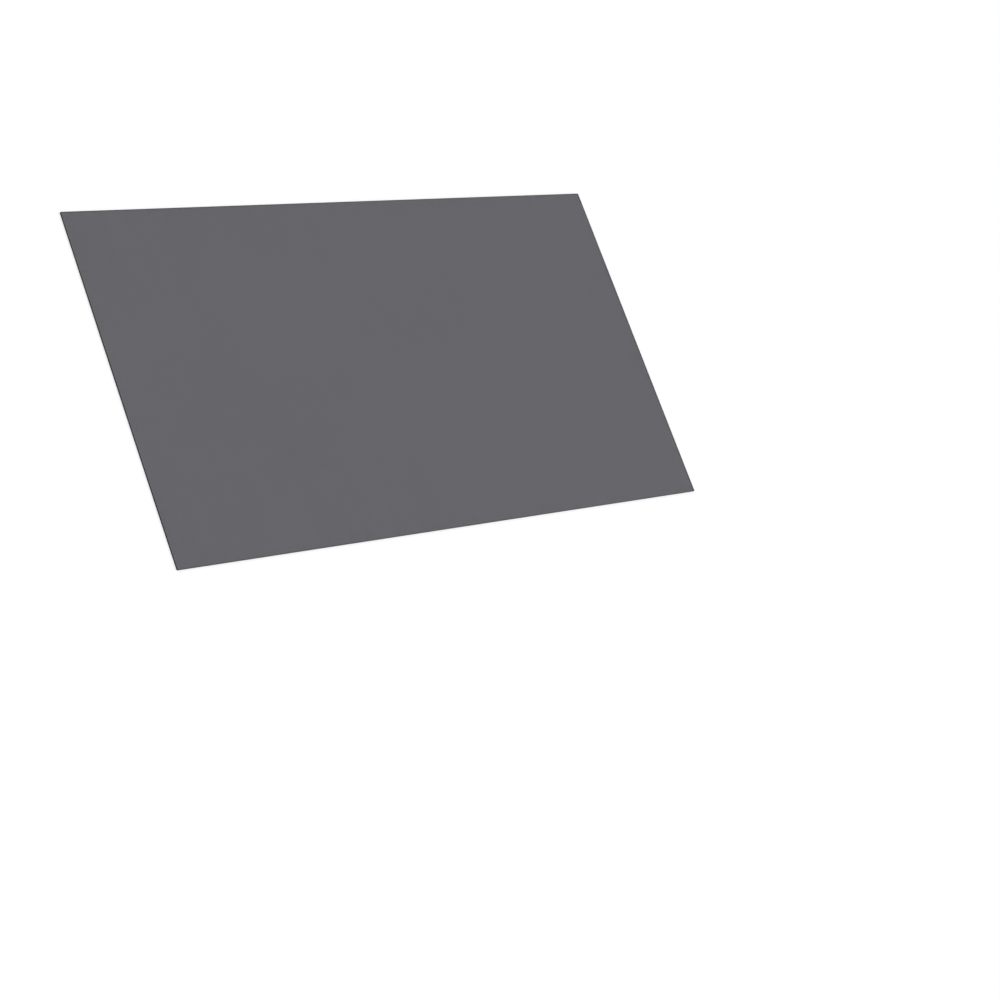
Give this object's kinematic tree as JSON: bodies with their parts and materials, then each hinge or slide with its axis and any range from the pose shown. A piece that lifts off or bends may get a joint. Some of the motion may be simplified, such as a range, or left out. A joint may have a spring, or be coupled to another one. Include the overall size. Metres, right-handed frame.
{
  "type": "laptop privacy filter",
  "caption": "Thin flat rectangular sheet of dark see-through louvre film that covers a laptop screen and hides it from people to the side.",
  "frame": {"origin": "middle of the sheet's back face, on which it lies", "axes": "+X along the sheet's width to the right, +Y along its height to the top edge, +Z out of its front face"},
  "size_m": [0.344, 0.1934, 0.0008],
  "materials": {
    "louvre_film": "dark grey see-through film, matt anti-glare front, satin back, near-black cut edges"
  },
  "bodies": {
    "root": {"filter_sheet": "louvre_film"}
  },
  "joints": []
}
